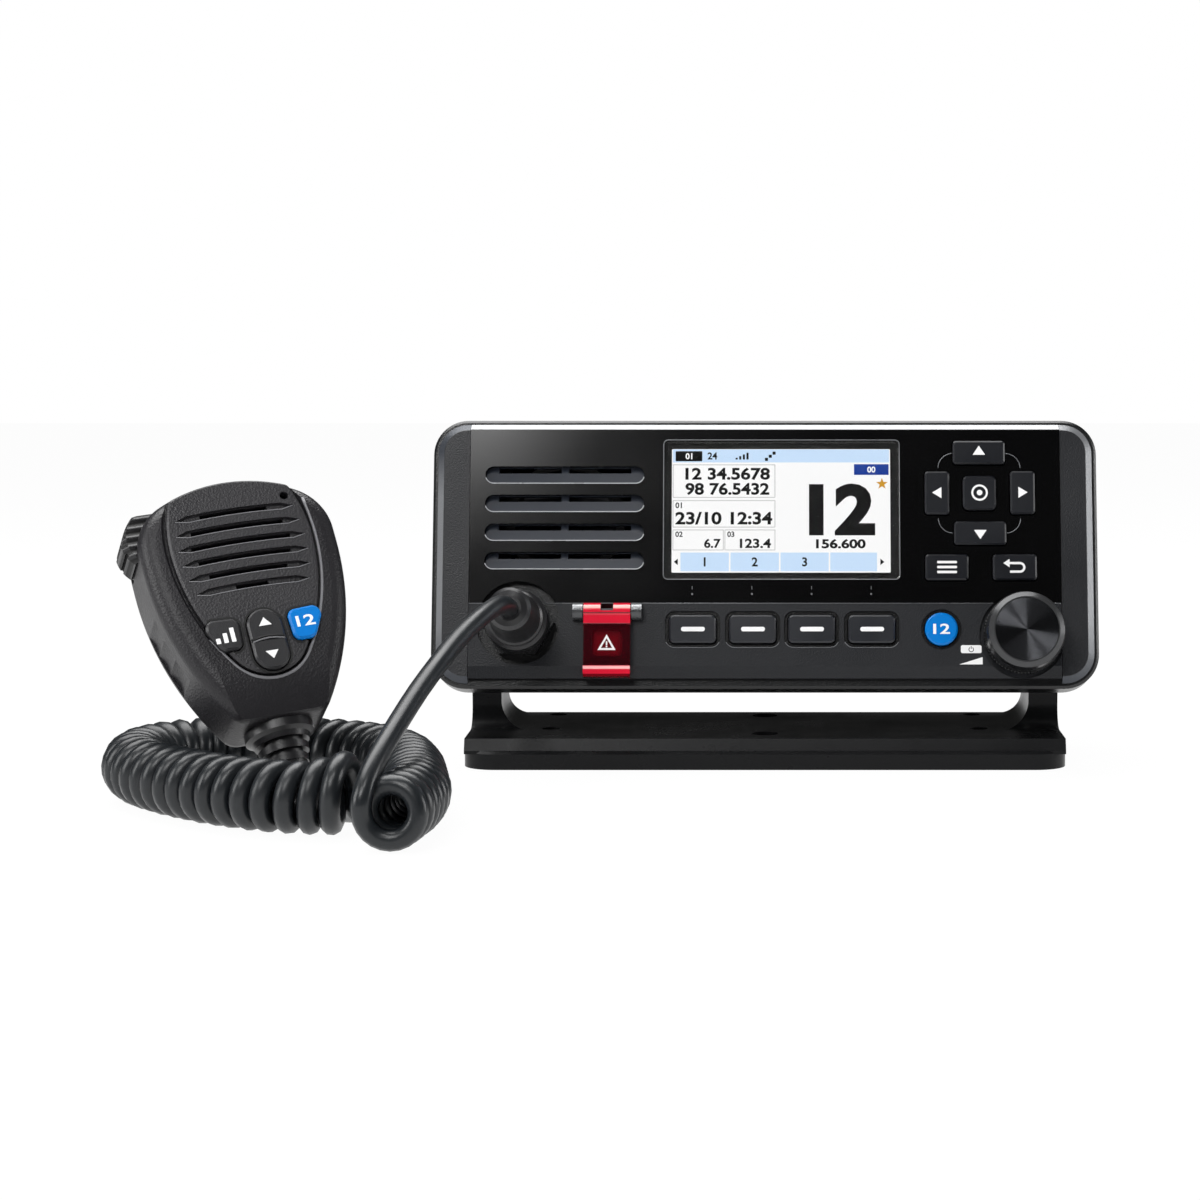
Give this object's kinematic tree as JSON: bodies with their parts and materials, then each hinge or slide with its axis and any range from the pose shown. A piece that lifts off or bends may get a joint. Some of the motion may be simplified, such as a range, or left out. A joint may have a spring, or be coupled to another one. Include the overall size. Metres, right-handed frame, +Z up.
{
  "type": "marine vhf radio",
  "caption": "Fixed-mount marine VHF radio tilting in a U bracket, with lit display, keys, turning knob, flip cover and a hand microphone on a curly cord.",
  "frame": {"origin": "centre of the bracket's foot, on the surface it is screwed to", "axes": "+X to the right seen from the front, +Y to the back, +Z up"},
  "size_m": [0.2872, 0.228, 0.1038],
  "materials": {
    "bracket_black": "satin black coat",
    "housing_charcoal": "fine textured moulding",
    "panel_gloss_black": "gloss black with fine grain",
    "fascia_charcoal": "fine textured moulding",
    "grille_dark": "satin",
    "lens_clear": "flat clear window",
    "screen_lit": "lit colour display",
    "key_charcoal": "satin key tops with white marks",
    "key_blue": "satin blue",
    "distress_red": "translucent red",
    "knob_black": "satin black, polished edge",
    "knob_face": "spun dark face",
    "cord_rubber": "satin black jacket",
    "boot_rubber": "moulded rubber",
    "seal_rubber": "soft seal",
    "chassis_alloy": "black coated die casting",
    "board_green": "printed board",
    "speaker_frame": "plated frame with a paper cone",
    "socket_nickel": "nickel plate",
    "screw_steel": "stainless",
    "mic_charcoal": "fine leather-like texture"
  },
  "bodies": {
    "bracket": {"mounting_bracket": "bracket_black", "curly_coil": "cord_rubber", "mic_lead": "cord_rubber", "mic_tail": "cord_rubber"},
    "radio": {"front_housing": "housing_charcoal", "gloss_panel": "panel_gloss_black", "lower_fascia": "fascia_charcoal", "speaker_grille": "grille_dark", "display_lens": "lens_clear", "display_module": "screen_lit", "speaker_driver": "speaker_frame", "speaker_gasket": "seal_rubber", "keypad_mat": "seal_rubber", "front_board": "board_green", "front_seal": "seal_rubber", "rear_chassis": "chassis_alloy", "main_board": "board_green", "case_screws": "screw_steel", "antenna_socket": "socket_nickel", "cable_inlets": "boot_rubber", "gland_nut": "knob_black", "cord_boot": "boot_rubber", "distress_hinge_pin": "screw_steel", "encoder_body": "knob_black", "tilt_washers": "seal_rubber"},
    "knob_left": {"thumb_knob_left": "knob_black"},
    "knob_right": {"thumb_knob_right": "knob_black"},
    "cover": {"distress_cover": "distress_red"},
    "dial_slider": {"encoder_plunger": "knob_black"},
    "dial": {"encoder_shaft": "screw_steel", "dial_knob": "knob_black", "dial_cap": "knob_face"},
    "microphone": {"mic_front_case": "mic_charcoal", "mic_rear_case": "mic_charcoal", "mic_front_plate": "mic_charcoal", "mic_speaker": "speaker_frame", "mic_capsule": "speaker_frame", "mic_board": "board_green", "mic_keypad_mat": "seal_rubber", "mic_hanger_stud": "mic_charcoal", "mic_screws": "screw_steel", "mic_boot": "boot_rubber"},
    "talk": {"ptt_key": "mic_charcoal"},
    "rocker": {"mic_rocker": "mic_charcoal"},
    "mic_left": {"mic_power_key": "mic_charcoal"},
    "mic_right": {"mic_channel_key": "key_blue"},
    "soft_1_cap": {"soft_key_1": "key_charcoal"},
    "soft_2_cap": {"soft_key_2": "key_charcoal"},
    "soft_3_cap": {"soft_key_3": "key_charcoal"},
    "soft_4_cap": {"soft_key_4": "key_charcoal"},
    "up_cap": {"up_key": "key_charcoal"},
    "down_cap": {"down_key": "key_charcoal"},
    "left_cap": {"left_key": "key_charcoal"},
    "right_cap": {"right_key": "key_charcoal"},
    "enter_cap": {"enter_key": "key_charcoal"},
    "menu_cap": {"menu_key": "key_charcoal"},
    "clear_cap": {"clear_key": "key_charcoal"},
    "channel_cap": {"channel_key": "key_blue"},
    "distress_cap": {"distress_key": "distress_red"}
  },
  "joints": [
    {"name": "radio_tilt", "type": "hinge", "parent": "bracket", "child": "radio", "pos_m": [0, 0.009, 0.057], "axis": [-1, 0, 0], "range_deg": [-18, 6], "deforming": ["mic_lead"]},
    {"name": "thumb_knob_left_spin", "type": "hinge", "parent": "radio", "child": "knob_left", "pos_m": [-0.095, 0.009, 0.057], "axis": [1, 0, 0], "continuous": true},
    {"name": "thumb_knob_right_spin", "type": "hinge", "parent": "radio", "child": "knob_right", "pos_m": [0.095, 0.009, 0.057], "axis": [1, 0, 0], "continuous": true},
    {"name": "distress_cover_flip", "type": "hinge", "parent": "radio", "child": "cover", "pos_m": [-0.0473, -0.02899, 0.0474], "axis": [-1, 0, 0], "range_deg": [0, 105]},
    {"name": "dial_push", "type": "slide", "parent": "radio", "child": "dial_slider", "axis": [0, 0.9724, -0.2334], "range_m": [0, 0.0008], "stiffness_N_per_m": 800},
    {"name": "dial_turn", "type": "hinge", "parent": "dial_slider", "child": "dial", "pos_m": [0.0773, -0.02926, 0.04027], "axis": [0, 0.9724, -0.2334], "continuous": true},
    {"name": "soft_key_1_press", "type": "slide", "parent": "radio", "child": "soft_1_cap", "axis": [0, 0.9724, -0.2334], "range_m": [0, 0.0012], "stiffness_N_per_m": 150},
    {"name": "soft_key_2_press", "type": "slide", "parent": "radio", "child": "soft_2_cap", "axis": [0, 0.9724, -0.2334], "range_m": [0, 0.0012], "stiffness_N_per_m": 150},
    {"name": "soft_key_3_press", "type": "slide", "parent": "radio", "child": "soft_3_cap", "axis": [0, 0.9724, -0.2334], "range_m": [0, 0.0012], "stiffness_N_per_m": 150},
    {"name": "soft_key_4_press", "type": "slide", "parent": "radio", "child": "soft_4_cap", "axis": [0, 0.9724, -0.2334], "range_m": [0, 0.0012], "stiffness_N_per_m": 150},
    {"name": "up_key_press", "type": "slide", "parent": "radio", "child": "up_cap", "axis": [0, 0.9724, -0.2334], "range_m": [0, 0.0012], "stiffness_N_per_m": 150},
    {"name": "down_key_press", "type": "slide", "parent": "radio", "child": "down_cap", "axis": [0, 0.9724, -0.2334], "range_m": [0, 0.0012], "stiffness_N_per_m": 150},
    {"name": "left_key_press", "type": "slide", "parent": "radio", "child": "left_cap", "axis": [0, 0.9724, -0.2334], "range_m": [0, 0.0012], "stiffness_N_per_m": 150},
    {"name": "right_key_press", "type": "slide", "parent": "radio", "child": "right_cap", "axis": [0, 0.9724, -0.2334], "range_m": [0, 0.0012], "stiffness_N_per_m": 150},
    {"name": "enter_key_press", "type": "slide", "parent": "radio", "child": "enter_cap", "axis": [0, 0.9724, -0.2334], "range_m": [0, 0.0012], "stiffness_N_per_m": 150},
    {"name": "menu_key_press", "type": "slide", "parent": "radio", "child": "menu_cap", "axis": [0, 0.9724, -0.2334], "range_m": [0, 0.0012], "stiffness_N_per_m": 150},
    {"name": "clear_key_press", "type": "slide", "parent": "radio", "child": "clear_cap", "axis": [0, 0.9724, -0.2334], "range_m": [0, 0.0012], "stiffness_N_per_m": 150},
    {"name": "channel_key_press", "type": "slide", "parent": "radio", "child": "channel_cap", "axis": [0, 0.9724, -0.2334], "range_m": [0, 0.0012], "stiffness_N_per_m": 150},
    {"name": "distress_key_press", "type": "slide", "parent": "radio", "child": "distress_cap", "axis": [0, 0.9724, -0.2334], "range_m": [0, 0.0012], "stiffness_N_per_m": 150},
    {"name": "mic_lift", "type": "slide", "parent": "bracket", "child": "microphone", "axis": [0, 0, 1], "range_m": [0, 0.06], "deforming": ["mic_tail"]},
    {"name": "talk_press", "type": "slide", "parent": "microphone", "child": "talk", "axis": [0.9026, 0.4147, 0.1155], "range_m": [0, 0.0014], "stiffness_N_per_m": 300},
    {"name": "mic_power_press", "type": "slide", "parent": "microphone", "child": "mic_left", "axis": [-0.3113, 0.814, -0.4905], "range_m": [0, 0.001], "stiffness_N_per_m": 150},
    {"name": "mic_channel_press", "type": "slide", "parent": "microphone", "child": "mic_right", "axis": [-0.3113, 0.814, -0.4905], "range_m": [0, 0.001], "stiffness_N_per_m": 150},
    {"name": "mic_rocker_tilt", "type": "hinge", "parent": "microphone", "child": "rocker", "pos_m": [-0.13597, -0.10612, 0.04648], "axis": [0.9026, 0.4147, 0.1155], "range_deg": [-3, 3], "stiffness_Nm_per_rad": 0.02}
  ]
}
